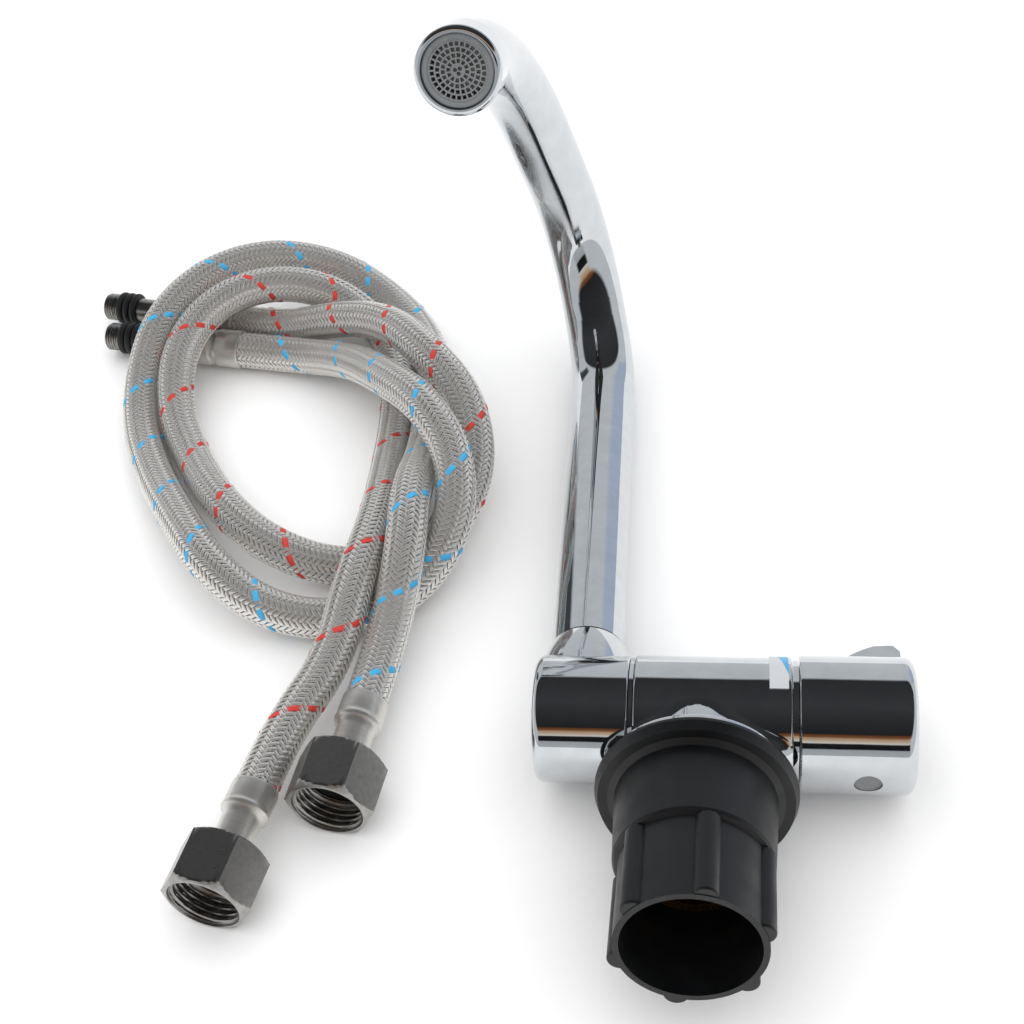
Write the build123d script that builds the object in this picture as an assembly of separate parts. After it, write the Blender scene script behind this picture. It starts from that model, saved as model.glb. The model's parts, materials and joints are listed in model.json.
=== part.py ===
from build123d import *
import os
from math import atan2, cos, degrees, pi, radians, sin, sqrt, tan

# A single lever tap for a caravan washroom, photographed with its two braided hoses.
# Millimetres. The tap lies on its back on the table, as in the photograph.
# Each piece of the tap is drawn upright first: X to the handle, Y to the back,
# Z up, with the clamping face of the black fixing nut at height 0.

# Horizontal body
axis_height = 27.0            # barrel axis above the clamping face
tee_radius = 17.6
tee_left = -17.0
tee_length = 41.6
casting_edge = 0.6            # small edge radius on the chromed castings

# Base of the body, gasket and threaded shank
gasket_thickness = 1.4
gasket_radius = 23.5
base_radius = 25.0
base_rim = 1.6                # height of the rim of the base
funnel_top = 12.5             # height where the concave funnel is narrowest
funnel_radius = 15.2
neck_round = 5.0                # where the funnel runs into the barrel
shank_radius = 14.5
shank_bore = 11.0
shank_seat = 12.0             # height of the shank's upper end inside the body
shank_length = 39.5
inlet_radius = 4.55
inlet_offset = 5.4            # each hose inlet stands this far from the axis
inlet_depth = 8.5

# Black fixing nut
flange_radius = 26.3
flange_taper = 1.0            # the rim is this much smaller at its lower edge
flange_thickness = 3.5
hub_radius = 20.2
hub_length = 22.0
nut_length = 50.8
skirt_bore = 16.95
skirt_wall = 1.6
collar_length = 13.0          # threaded part of the nut
thread_gap = 0.06
rib_count = 6
rib_angle = 42.0
rib_radius = 3.2
rib_height = 2.3
rib_edge = 0.6
nut_travel = 22.0             # how far the nut can be screwed back along the shank

# Left barrel that carries the spout
seam_gap = 0.15
bearing_thickness = 1.1
bearing_radius = 17.0
spout_barrel_radius = 17.3
spout_barrel_length = 25.5
barrel_end_radius = 2.5
spindle_radius = 8.4
spindle_bore = 5.0
spindle_socket = 7.6          # depth of the spindle's seat in the body
spindle_reach = 19.4          # length of the spindle beyond the barrel's open end
spindle_ring_offset = 4.8     # each sealing ring stands this far from the spout's axis
ring_clearance = 0.04
screw_head_radius = 4.6
screw_head_length = 2.4
screw_radius = 2.0
web_thickness = 1.6
cap_radius = 5.8
cap_thickness = 1.2
running_gap = 0.08
spout_lean = 5.84             # forward lean of the spout in degrees
spout_cant = 1.68             # its collar stands this far out of square, to the left
spout_swing = 12.74           # turned to the left of straight ahead, degrees
collar_radius = 10.9
collar_flare = 2.0
collar_top = 25.0             # height of the collar's lip above the barrel axis
tail_radius = 9.6
tail_bore = 7.4
tail_seat = 11.0              # lower end of the spout's tail above the barrel axis
first_tail_ring, second_tail_ring = 2.2, 5.4    # heights above the tail's lower end
grub_drop = 4.5               # the collar's grub screw lies this far below its lip

# Spout, as it is bent: straights, bend radii and turns in degrees, from the bottom up
tube_radius = 10.5
tube_wall = 1.5
rise_height = 141.9           # the first bend starts this far above the barrel axis
knee_bend, knee_turn = 37.8, 48.4
crest_straight = 6.2
crest_bend, crest_turn = 46.9, 57.8
drop_straight = 22.5
drop_bend, drop_turn = 79.1, 57.6
outlet_straight = 2.0         # between the last bend and the head
head_radius = 12.3
head_length = 15.0
head_seat = 1.0                # the tube's end stands this deep in the head
head_edge = 1.4

# Outlet insert
insert_radius = 10.3
insert_length = 8.0
insert_recess = 0.8
screen_radius = 8.5
screen_thickness = 1.2
screen_ring = 1.55            # pitch of the rings of openings
screen_bar = 0.45
screen_rings = 4
mesh_thickness = 0.5
outlet_seal_thickness = 1.6

# Cartridge
cartridge_radius = 12.8
cartridge_length = 9.5
cartridge_wall = 1.6
disc_radius = 10.9
disc_thickness = 2.6
port_radius = 2.3
port_offset = 5.3
nut_ring_radius = 14.2
nut_ring_length = 6.0
cover_ring_radius = 17.0
cover_ring_thickness = 1.5
stem_radius = 4.0
stem_length = 20.0

# Handle: a hollow knob with a fin for a lever, in one casting
knob_radius = 18.3
knob_length = 30.3
knob_wall = 2.6
knob_end_wall = 5.0
knob_end_radius = 3.0
hub_wall = 3.6
fin_left, fin_right = 34.0, 54.6
fin_height = 11.9
fin_width = 5.2
fin_edge = 1.2
grub_radius = 2.5
grub_length = 6.0
plug_radius = 3.7
plug_depth = 1.4
plug_inset = 12.6             # from the knob's free end to the plug's middle
plug_turn = 14.5              # the plug is turned this far towards the back

# Curved temperature mark on the body
mark_width = 5.0
mark_thickness = 0.25
mark_first = -12.0            # it starts this far behind the top of the body, degrees
mark_last = 107.0             # and ends this far in front of the top
mark_edge = 1.0               # distance from the mark to the end of the body

# Hoses and their fittings
hose_radius = 6.3
ferrule_radius = 6.8
ferrule_crimp = 8.0
ferrule_shoulder = 2.0
ferrule_small = 5.5            # radius of the ferrule's second section
neck_radius = 4.9
union_start = 20.5             # from the hose's end to the nut's back
union_flats = 22.5
union_length = 17.0
union_bore = 9.35
union_back = 3.2
union_chamfer = 1.1
neck_gap = 0.08
nipple_gap = 0.3               # round the nipple, inside the nut
nipple_radius = 8.4
nipple_thickness = 2.2
water_bore = 3.0
washer_thickness = 2.0
tail_ferrule_length = 20.0
tail_length = 33.0
tail_shank_radius = 4.35
tail_thread_radius = 4.95
tail_thread_length = 5.0
ring_section = 1.25
ring_groove = 0.95
first_ring = 1.6                # from the tail's thread back to the first ring's middle
ring_pitch = 2.7
ring_count = 3

# The hoses lie on the table beside the tap: points of each centre line.
blue_route = [
    (-167.2, 199.7, 7.2), (-144.8, 196.1, 7.2), (-123.6, 183.6, 16.2),
    (-105.6, 159.6, 29.0), (-88.8, 139.8, 35.2), (-76.8, 120.4, 29.6),
    (-76.6, 100.2, 18.0), (-89.2, 83.2, 7.8), (-110.4, 72.8, 5.8),
    (-133.6, 74.0, 9.8), (-152.6, 87.0, 15.8), (-167.2, 108.0, 13.4),
    (-182.8, 132.6, 8.0), (-195.0, 158.2, 6.0), (-199.2, 181.2, 11.2),
    (-195.8, 203.2, 19.8), (-182.6, 224.4, 23.0), (-161.6, 236.8, 21.8),
    (-137.6, 238.6, 15.0), (-117.6, 228.4, 7.2), (-102.4, 209.0, 6.2),
    (-94.2, 185.8, 7.2), (-92.0, 160.4, 12.4), (-90.4, 135.4, 16.8),
    (-90.4, 109.0, 27.2), (-88.6, 86.2, 25.8), (-92.2, 63.4, 11.6),
    (-95.4, 38.3, 11.6)]
red_route = [
    (-172.6, 215.5, 7.2), (-152.0, 211.5, 7.2), (-131.2, 202.6, 19.0),
    (-109.6, 190.2, 28.0), (-92.8, 169.6, 31.6), (-78.0, 151.8, 27.4),
    (-72.4, 131.4, 17.8), (-78.2, 112.4, 9.2), (-94.0, 98.2, 5.8),
    (-115.8, 93.0, 7.8), (-137.6, 99.2, 12.6), (-155.0, 115.0, 13.6),
    (-170.6, 139.6, 7.8), (-183.2, 163.2, 9.8), (-186.2, 185.2, 17.2),
    (-178.2, 204.8, 22.6), (-161.0, 218.2, 23.2), (-140.0, 221.4, 18.4),
    (-121.8, 212.6, 11.2), (-110.2, 194.0, 6.2), (-105.4, 168.4, 6.8),
    (-103.6, 145.6, 9.2), (-102.0, 122.2, 14.2), (-100.8, 97.8, 20.8),
    (-103.8, 75.4, 21.0), (-107.2, 51.6, 13.0), (-117.8, 27.6, 11.5),
    (-121.4, 7.4, 11.5)]

# Places that follow from the sizes above
tee_right = tee_left + tee_length
barrel_right = tee_left - bearing_thickness - 2 * seam_gap
barrel_left = barrel_right - spout_barrel_length
spout_x = (barrel_left + barrel_right) / 2
knob_left = tee_right + cover_ring_thickness + 2 * seam_gap
knob_right = knob_left + knob_length
cartridge_floor = tee_right - nut_ring_length - cartridge_length - 2.7
axis_point = (0, 0, axis_height)


def along_x(radius, start, end, y=0.0, z=axis_height):
    """A round bar or bore along X."""
    return Pos((start + end) / 2, y, z) * Rot(0, 90, 0) * Cylinder(radius, abs(end - start))


def upright(radius, start, end, x=0.0, y=0.0):
    """A round bar or bore along Z."""
    return Pos(x, y, (start + end) / 2) * Cylinder(radius, abs(end - start))


def ring_x(outer, inner, start, end):
    return along_x(outer, start, end) - along_x(inner, start - 1, end + 1)


def turned(points):
    """A solid of revolution about Z from a closed outline in radius and height."""
    face = make_face(Polyline(*[(r, 0, z) for r, z in points], close=True))
    return revolve(face, Axis.Z)


# Body: a horizontal barrel that runs down in a concave funnel to its base
barrel = along_x(tee_radius, tee_left, tee_right)
barrel_waste = barrel - fillet(barrel.edges().filter_by(GeomType.CIRCLE), casting_edge)
rim_top = gasket_thickness + base_rim
foot = turned([(0, gasket_thickness), (base_radius, gasket_thickness),
               (base_radius, rim_top), (0, rim_top)])
foot = fillet(foot.edges().filter_by(GeomType.CIRCLE).group_by(Axis.Z)[-1], casting_edge * 1.5)
sag = ThreePointArc((base_radius - 2.2, 0, rim_top - 0.4),
                    (funnel_radius + 2.4, 0, (rim_top + funnel_top) / 2 - 1.4),
                    (funnel_radius, 0, funnel_top))
throat = sag + Polyline((funnel_radius, 0, funnel_top), (funnel_radius, 0, axis_height - 4),
                        (0, 0, axis_height - 4), (0, 0, rim_top - 0.4),
                        (base_radius - 2.2, 0, rim_top - 0.4))
funnel = revolve(make_face(throat), Axis.Z)
# A wide round joins the funnel to the barrel, as on a casting.
neck = barrel + funnel
seam = [edge for edge in neck.edges() if edge.geom_type not in (GeomType.CIRCLE, GeomType.LINE)]
neck = fillet(seam, neck_round)
tee_body = neck - barrel_waste + foot
tee_body -= upright(shank_radius, 0, shank_seat)
for side in (-1, 1):
    tee_body -= upright(inlet_radius, shank_seat - 1, shank_seat + inlet_depth,
                        x=-1.2, y=side * inlet_offset)
tee_body -= along_x(cartridge_radius + 0.1, cartridge_floor, tee_right + 1)
tee_body -= along_x(nut_ring_radius + 0.05, tee_right - nut_ring_length, tee_right + 1)
tee_body -= along_x(spindle_radius, tee_left - 1, tee_left + spindle_socket)
for side in (-1, 1):
    # A drilling joins each inlet to the floor of the cartridge's seat.
    tee_body -= along_x(port_radius - 0.2, -1.2, cartridge_floor + 1,
                        y=side * inlet_offset, z=shank_seat + inlet_depth - 1.2)
tee_body -= along_x(port_radius + 0.4, tee_left + spindle_socket - 1, cartridge_floor + 1,
                    z=axis_height + port_offset)

base_gasket = upright(gasket_radius, 0, gasket_thickness)
base_gasket -= upright(shank_radius + 0.4, -1, gasket_thickness + 1)

shank_foot = shank_seat - shank_length
threaded_shank = upright(shank_radius, shank_foot, shank_seat)
threaded_shank = chamfer(threaded_shank.edges().group_by(Axis.Z)[0], 0.8)
threaded_shank -= upright(shank_bore, shank_foot - 1, shank_seat + 1)

# Black fixing nut: coned flange, short hub, long ribbed skirt
skirt_radius = skirt_bore + skirt_wall
low_rim = flange_radius - flange_taper
hub_foot = -flange_thickness - hub_length
fixing_nut = turned([
    (shank_radius + thread_gap, 0), (flange_radius, 0), (flange_radius, -0.9),
    (low_rim, -flange_thickness), (hub_radius + 2.6, -flange_thickness),
    (hub_radius + 0.8, -flange_thickness - 0.9), (hub_radius, hub_foot + 0.8),
    (hub_radius - 0.5, hub_foot), (skirt_radius, hub_foot - 0.5),
    (skirt_radius, -nut_length), (skirt_bore, -nut_length),
    (skirt_bore, -collar_length), (shank_radius + thread_gap, -collar_length)])
rib_centre = skirt_radius + rib_height - rib_radius
rib_top = hub_foot - 0.3
rib_foot = -nut_length + 0.2
rib = upright(rib_radius, rib_foot, rib_top, x=rib_centre)
rib = fillet(rib.edges().group_by(Axis.Z)[0] + rib.edges().group_by(Axis.Z)[-1], rib_edge)
rib -= upright(skirt_bore + 0.4, -nut_length - 1, 0)
for i in range(rib_count):
    fixing_nut += Rot(0, 0, rib_angle + i * 360 / rib_count) * rib

# Spindle that the spout's barrel turns on
spindle_left = barrel_right - spindle_reach
spindle = along_x(spindle_radius, spindle_left, tee_left + spindle_socket)
spindle -= along_x(spindle_bore, spindle_left + 4.0, tee_left + spindle_socket + 1)
for step in (-1, 1):
    place = spout_x + step * spindle_ring_offset
    spindle -= ring_x(spindle_radius + 1, spindle_radius - ring_groove, place - 1.1, place + 1.1)
spindle -= ring_x(spindle_radius + 1, spindle_radius - 1.2, spout_x - 3, spout_x + 3)
spindle -= upright(2.6, axis_height - 12, axis_height + 12, x=spout_x)
spindle -= along_x(screw_radius + 0.02, spindle_left - 1, spindle_left + 5)

ring_inner = spindle_radius - ring_groove
ring_half = (spindle_radius + running_gap - ring_clearance - ring_inner) / 2
o_ring = Rot(0, 90, 0) * Torus(ring_inner + ring_half, ring_half)
spindle_o_rings = Compound([Pos(spout_x + s * spindle_ring_offset, 0, axis_height) * o_ring
                            for s in (-1, 1)])

bearing_left = barrel_right + seam_gap
bearing_washer = ring_x(bearing_radius, spindle_radius + 0.1,
                        bearing_left, bearing_left + bearing_thickness)

# Left barrel with its flared collar
lean = Pos(spout_x, 0, axis_height) * Rot(spout_lean, 0, 0) * Rot(0, -spout_cant, 0)
swing = lean * Rot(0, 0, -spout_swing)
shell = along_x(spout_barrel_radius, barrel_left, barrel_right)
shell = fillet(shell.faces().sort_by(Axis.X)[0].edges(), barrel_end_radius)
shell = fillet(shell.faces().sort_by(Axis.X)[-1].edges(), casting_edge)
lip = collar_radius
root = collar_radius + collar_flare
bell = Spline((root + 0.9, 0, 13.0), (root - 0.2, 0, collar_top - 6.5), (lip, 0, collar_top - 0.5))
bell += Polyline((lip, 0, collar_top - 0.5), (lip - 0.5, 0, collar_top), (0, 0, collar_top),
                 (0, 0, 0), (root + 0.9, 0, 0), (root + 0.9, 0, 13.0))
collar = revolve(make_face(bell), Axis.Z)
# The collar is faced off flush with the barrel's open end.
collar_span = barrel_right - barrel_left - 0.8
collar = (lean * collar) & Pos(barrel_right - collar_span / 2, 0, axis_height) * Box(
    collar_span, 120, 120)
spout_barrel = shell + collar
web_right = spindle_left - 0.2
web_left = web_right - web_thickness
spout_barrel -= along_x(spindle_radius + running_gap, web_right, barrel_right + 1)
spout_barrel -= along_x(screw_radius + 0.3, web_left - 1, web_right + 1)
spout_barrel -= along_x(cap_radius, barrel_left - 1, web_left)
spout_barrel -= lean * upright(tail_radius + running_gap, tail_seat - 0.2, collar_top + 1)
spout_barrel -= lean * upright(tail_bore, 2, tail_seat)
grub_height = collar_top - grub_drop
grub_hole = Pos(0, collar_radius, grub_height) * Rot(90, 0, 0) * Cylinder(1.5, 8)
spout_barrel -= lean * grub_hole
collar_grub_screw = Pos(0, tail_radius + 0.6, grub_height) * Rot(90, 0, 0) * Cylinder(1.45, 1.6)
collar_grub_screw -= Pos(0, tail_radius + 1.4, grub_height) * Rot(90, 0, 0) * extrude(
    RegularPolygon(0.75, 6), 0.7, both=True)
collar_grub_screw = lean * collar_grub_screw

# The screw in the spindle's end keeps the barrel on, under a press-in cover.
head_right = web_left - 0.1
head_left = head_right - screw_head_length
retaining_screw = along_x(screw_radius, head_right - 0.1, spindle_left + 4)
retaining_screw += along_x(screw_head_radius, head_left, head_right)
retaining_screw -= Pos(head_left - 0.1, 0, axis_height) * Rot(0, 90, 0) * extrude(
    RegularPolygon(1.7, 6), 1.6)
end_cap = along_x(cap_radius - 0.02, barrel_left + 0.2, barrel_left + 0.2 + cap_thickness)

# Spout: tail, bent tube, outlet head
tail_top = collar_top - 0.5
spout_tail = upright(tail_radius, tail_seat, tail_top)
spout_tail += upright(tube_radius - tube_wall - 0.02, tail_top - 1, collar_top + 7)
spout_tail -= upright(tail_bore, tail_seat - 1, collar_top + 8)
groove_heights = (tail_seat + first_tail_ring, tail_seat + second_tail_ring)
for z in groove_heights:
    cutter = upright(tail_radius + 1, z - 0.8, z + 0.8)
    cutter -= upright(tail_radius - ring_groove, z - 1, z + 1)
    spout_tail -= cutter
keeper = upright(tail_radius + 1, grub_height - 1.7, grub_height + 1.7)
keeper -= upright(tail_radius - 0.3, grub_height - 2, grub_height + 2)
spout_tail -= keeper
tail_ring_inner = tail_radius - ring_groove
tail_ring_half = (tail_radius + running_gap - ring_clearance - tail_ring_inner) / 2
spout_o_rings = Compound([swing * Pos(0, 0, z) * Torus(tail_ring_inner + tail_ring_half,
                                                       tail_ring_half)
                          for z in groove_heights])

tube_start = collar_top + 0.3
way = Line((0, tube_start), (0, rise_height))
bends = [way]
for straight, bend, turn in ((crest_straight, knee_bend, knee_turn),
                             (drop_straight, crest_bend, crest_turn),
                             (outlet_straight, drop_bend, drop_turn)):
    arc = JernArc(way @ 1, way % 1, bend, -turn)
    way = Line(arc @ 1, (arc @ 1) + (arc % 1) * straight)
    bends += [arc, way]
side_plane = Plane((0, 0, 0), x_dir=(0, -1, 0), z_dir=(-1, 0, 0))
path = side_plane * Wire(bends)
section = Plane((0, 0, tube_start)) * (Circle(tube_radius) - Circle(tube_radius - tube_wall))
spout_tube = sweep(section, path)

# The outlet's own frame: Z points out of the mouth.
mouth = (path @ 1) + (path % 1) * (head_length - head_seat)
outlet = Pos(*mouth) * Rot(knee_turn + crest_turn + drop_turn, 0, 0)
head = upright(head_radius, -head_length, 0)
head = fillet(head.edges().group_by(Axis.Z)[0], 4.5)
head = fillet(head.edges().group_by(Axis.Z)[-1], head_edge)
head -= upright(tube_radius, -head_length - 1, -head_length + head_seat + 0.2)
head -= upright(tube_radius - tube_wall, -head_length - 1, 1)
insert_back = -insert_recess - insert_length
head -= upright(insert_radius + 0.05, insert_back - outlet_seal_thickness, 1)

aerator_seal = upright(insert_radius - 0.1, insert_back - outlet_seal_thickness, insert_back)
aerator_seal -= upright(insert_radius - 2.0, insert_back - 3, insert_back + 1)
aerator_housing = upright(insert_radius, insert_back, -insert_recess)
aerator_housing = chamfer(aerator_housing.edges().group_by(Axis.Z)[-1], 0.5)
aerator_housing -= upright(screen_radius, insert_back + 1.2, 1)
aerator_housing -= upright(screen_radius - 1.2, insert_back - 1, insert_back + 2)
mesh_level = insert_back + 1.2
aerator_mesh = upright(screen_radius - 0.05, mesh_level, mesh_level + mesh_thickness)
screen_level = -insert_recess - screen_thickness - 0.3
screen = upright(screen_radius - 0.02, screen_level, screen_level + screen_thickness)
for ring in range(screen_rings):
    inner = screen_radius - 0.7 - (screen_rings - ring) * screen_ring + screen_bar
    outer = inner + screen_ring - screen_bar
    cells = 12 + 6 * ring
    bar = degrees(screen_bar / ((inner + outer) / 2))
    start = Rot(0, 0, ring * 4.0)
    turn = 360 / cells - bar
    outline = Polyline((inner, 0), (outer, 0))
    outline += CenterArc((0, 0), outer, 0, turn)
    outline += Polyline((outer * cos(radians(turn)), outer * sin(radians(turn))),
                        (inner * cos(radians(turn)), inner * sin(radians(turn))))
    outline += CenterArc((0, 0), inner, 0, turn)
    cell = start * Pos(0, 0, screen_level - 1) * extrude(make_face(outline), screen_thickness + 2)
    screen -= [Rot(0, 0, k * 360 / cells) * cell for k in range(cells)]
hub_hole = screen_radius - 0.7 - screen_rings * screen_ring
for k in range(3):
    wedge = Rot(0, 0, 30 + 120 * k) * Pos(hub_hole * 0.5, 0, screen_level + 0.5)
    screen -= wedge * Cylinder(hub_hole * 0.36, screen_thickness + 2)
aerator_screen = screen

# Cartridge
body_right = cartridge_floor + cartridge_length
cartridge_body = along_x(cartridge_radius, cartridge_floor, body_right)
cartridge_body -= along_x(cartridge_radius - cartridge_wall, cartridge_floor + 2.4, body_right + 1)
for side in (-1, 1):
    cartridge_body -= along_x(port_radius, cartridge_floor - 1, cartridge_floor + 3,
                              y=side * inlet_offset, z=shank_seat + inlet_depth - 1.2)
cartridge_body -= along_x(port_radius, cartridge_floor - 1, cartridge_floor + 3,
                          z=axis_height + port_offset)
fixed_left = cartridge_floor + 2.4
fixed_disc = along_x(disc_radius, fixed_left, fixed_left + disc_thickness)
for side in (-1, 1):
    fixed_disc -= along_x(port_radius, fixed_left - 1, fixed_left + 4,
                          y=side * inlet_offset, z=shank_seat + inlet_depth - 1.2)
fixed_disc -= along_x(port_radius, fixed_left - 1, fixed_left + 4, z=axis_height + port_offset)
moving_left = fixed_left + disc_thickness + 0.02
moving_disc = along_x(disc_radius - 0.1, moving_left, moving_left + disc_thickness)
moving_disc -= Pos(moving_left, 0, axis_height) * Box(2.4, 11, 11)
rotor_left = moving_left + disc_thickness
rotor_right = tee_right - nut_ring_length - 0.3
cartridge_stem = along_x(disc_radius - 0.1, rotor_left, rotor_right)
cartridge_stem += along_x(stem_radius, rotor_right - 1, rotor_right + stem_length)
stem_flat = Pos(rotor_right + stem_length - 5, 0, axis_height - stem_radius)
cartridge_stem -= stem_flat * Box(12, 2 * stem_radius, 1.6)

ring_left = tee_right - nut_ring_length
cartridge_nut = along_x(nut_ring_radius, ring_left, tee_right + 1)
cover_left = tee_right + seam_gap
cartridge_nut += along_x(cover_ring_radius, cover_left, cover_left + cover_ring_thickness)
cartridge_nut -= along_x(stem_radius + 0.4, ring_left - 1, tee_right + 4)
cartridge_nut -= along_x(10.5, tee_right - 2.2, tee_right + 4)

# Knob with a hub for the stem and a fin that points upward
knob = along_x(knob_radius, knob_left, knob_right)
knob = fillet(knob.faces().sort_by(Axis.X)[-1].edges(), knob_end_radius)
knob = fillet(knob.faces().sort_by(Axis.X)[0].edges(), casting_edge)
root_height = axis_height + knob_radius - 1.5
fin_top = axis_height + knob_radius + fin_height
fin_side = Polyline((fin_right, 0, root_height), (fin_right + 0.3, 0, fin_top - 2.6),
                    (fin_right - 1.6, 0, fin_top), (fin_right - 7.0, 0, fin_top - 0.5))
fin_side += ThreePointArc((fin_right - 7.0, 0, fin_top - 0.5),
                          (fin_left + 5.4, 0, fin_top - 0.5 * fin_height),
                          (fin_left, 0, axis_height + knob_radius - 0.4))
fin_side += Polyline((fin_left, 0, axis_height + knob_radius - 0.4), (fin_left, 0, root_height),
                     (fin_right, 0, root_height))
fin = extrude(make_face(fin_side), fin_width / 2, both=True)
fin = fillet(fin.edges().filter_by(Axis.Y).sort_by(Axis.Z)[-2:], fin_edge)
knob += fin
hollow_right = knob_right - knob_end_wall
cavity = along_x(knob_radius - knob_wall, knob_left - 1, hollow_right)
cavity -= along_x(stem_radius + hub_wall, knob_left + 4.0, hollow_right + 1)
knob -= cavity
stem_right = rotor_right + stem_length
knob -= along_x(stem_radius + 0.05, knob_left, stem_right + 0.4)
plug_place = Pos(knob_right - plug_inset, 0, axis_height) * Rot(plug_turn, 0, 0)
knob -= plug_place * upright(grub_radius, -knob_radius - 2, 0)
knob -= plug_place * upright(plug_radius, -knob_radius - 2, -knob_radius + plug_depth + 0.3)

grub_screw = plug_place * upright(grub_radius - 0.05, -knob_radius + 5.2,
                                  -knob_radius + 5.2 + grub_length)
hex_key = extrude(RegularPolygon(1.45, 6), 2.6)
grub_screw -= plug_place * Pos(0, 0, -knob_radius + 5.1) * hex_key
screw_plug = plug_place * upright(plug_radius - 0.05, -knob_radius + plug_depth - 0.9,
                                  -knob_radius + plug_depth + 0.3)
screw_plug += plug_place * upright(grub_radius - 0.2, -knob_radius + plug_depth,
                                   -knob_radius + plug_depth + 2.4)

# Temperature mark: a thin curved strip round the body
mark_right = tee_right - mark_edge
mark = ring_x(tee_radius + mark_thickness, tee_radius, mark_right - mark_width, mark_right)
wedge_points = [(mark_right, 0, axis_height)]
for k in range(9):
    turn = radians(mark_first + (mark_last - mark_first) * k / 8)
    wedge_points.append((mark_right, -40 * sin(turn), axis_height + 40 * cos(turn)))
wedge = make_face(Polyline(*wedge_points, close=True))
temperature_mark = mark & extrude(wedge, 2 * mark_width, dir=(1, 0, 0), both=True)

tap = {
    "tee_body": tee_body, "base_gasket": base_gasket, "threaded_shank": threaded_shank,
    "fixing_nut": fixing_nut, "spindle": spindle, "spindle_o_rings": spindle_o_rings,
    "bearing_washer": bearing_washer, "spout_barrel": spout_barrel,
    "retaining_screw": retaining_screw, "end_cap": end_cap,
    "collar_grub_screw": collar_grub_screw, "spout_tail": swing * spout_tail,
    "spout_o_rings": spout_o_rings, "spout_tube": swing * spout_tube,
    "spout_head": swing * outlet * head, "aerator_seal": swing * outlet * aerator_seal,
    "aerator_housing": swing * outlet * aerator_housing,
    "aerator_mesh": swing * outlet * aerator_mesh,
    "aerator_screen": swing * outlet * aerator_screen,
    "cartridge_body": cartridge_body, "fixed_disc": fixed_disc, "moving_disc": moving_disc,
    "cartridge_stem": cartridge_stem, "cartridge_nut": cartridge_nut, "knob": knob,
    "grub_screw": grub_screw, "screw_plug": screw_plug,
    "temperature_mark": temperature_mark}

# The tap laid on its back: it rests on the nut's flange and the spout's back
rest = []
for k in range(121):
    # Points along the spout's centre line; its back lies one tube radius behind them.
    share = k / 200
    forward_way = path % share
    backward = Vector(0, forward_way.Z, -forward_way.Y)
    place = (swing * Pos(*(path @ share + backward * tube_radius))).position
    rest.append(degrees(atan2(flange_radius - place.Y, place.Z)))
tilt = min(rest)
lay = Rot(-(90 + tilt), 0, 0)
box = Compound([lay * piece for piece in tap.values()]).bounding_box()
shift = Pos(-(box.min.X + box.max.X) / 2, -(box.min.Y + box.max.Y) / 2, -box.min.Z)
table = shift * lay
print("tilt", round(tilt, 3), "shift", [round(v, 3) for v in shift.position])


# Hoses, in the table's own frame
def facing(point, towards):
    """A frame at the point with Z along the direction given."""
    return Location(Plane(origin=point, z_dir=towards, x_dir=Vector(0, 0, 1).cross(towards)))


def hose(points, name):
    runs = [(b - a).length for a, b in zip(points, points[1:])]
    radii = []
    for i in range(1, len(points) - 1):
        turn = radians((points[i] - points[i - 1]).get_angle(points[i + 1] - points[i]))
        radii.append(0.45 * min(runs[i - 1], runs[i]) / tan(turn / 2))
    line = FilletPolyline(*points, radius=radii)
    start = Plane(origin=points[0], z_dir=points[1] - points[0])
    solid = sweep(start * Circle(hose_radius), line)
    print(name, "length", round(line.length, 1), "least radius", round(min(radii), 1),
          "volume share", round(solid.volume / (pi * hose_radius ** 2 * line.length), 4))
    print(name, "radii", [round(r) for r in radii])
    return solid, line


def hexagon(flats, start, end):
    return Pos(0, 0, start) * extrude(RegularPolygon(flats / sqrt(3), 6), end - start)


flange_start = union_start + union_back + 0.2
washer_start = flange_start + nipple_thickness


def union_end():
    """Ferrule, nipple, washer and union nut, with Z out of the hose's end."""
    crimp = ferrule_crimp
    neck_foot = union_start - 0.3
    ferrule = turned([(0, 0), (ferrule_radius - 0.4, 0), (ferrule_radius, 0.5),
                      (ferrule_radius, crimp), (ferrule_small, crimp + ferrule_shoulder),
                      (ferrule_small, neck_foot - 0.4), (ferrule_small - 0.4, neck_foot),
                      (0, neck_foot)])
    ferrule -= upright(water_bore + 0.6, crimp, neck_foot + 1)
    nipple = upright(neck_radius, neck_foot, flange_start + 0.1)
    nipple += upright(nipple_radius, flange_start, washer_start)
    nipple -= upright(water_bore, neck_foot - 1, washer_start + 1)
    washer = upright(nipple_radius - 0.1, washer_start, washer_start + washer_thickness)
    washer -= upright(water_bore + 1.4, washer_start - 1, washer_start + 4)
    mouth = union_start + union_length
    nut = hexagon(union_flats, union_start, mouth)
    corner = union_flats / sqrt(3)
    nut &= turned([(0, union_start), (union_flats / 2 - 0.2, union_start),
                   (corner, union_start + union_chamfer * 0.8), (corner, mouth - union_chamfer),
                   (union_flats / 2 - 0.6, mouth), (0, mouth)])
    nut -= upright(neck_radius + neck_gap, union_start - 1, union_start + union_back + 1)
    nut -= upright(nipple_radius + nipple_gap, union_start + union_back, mouth)
    nut -= upright(union_bore, washer_start + washer_thickness, mouth + 1)
    return ferrule, nipple, washer, nut


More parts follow.
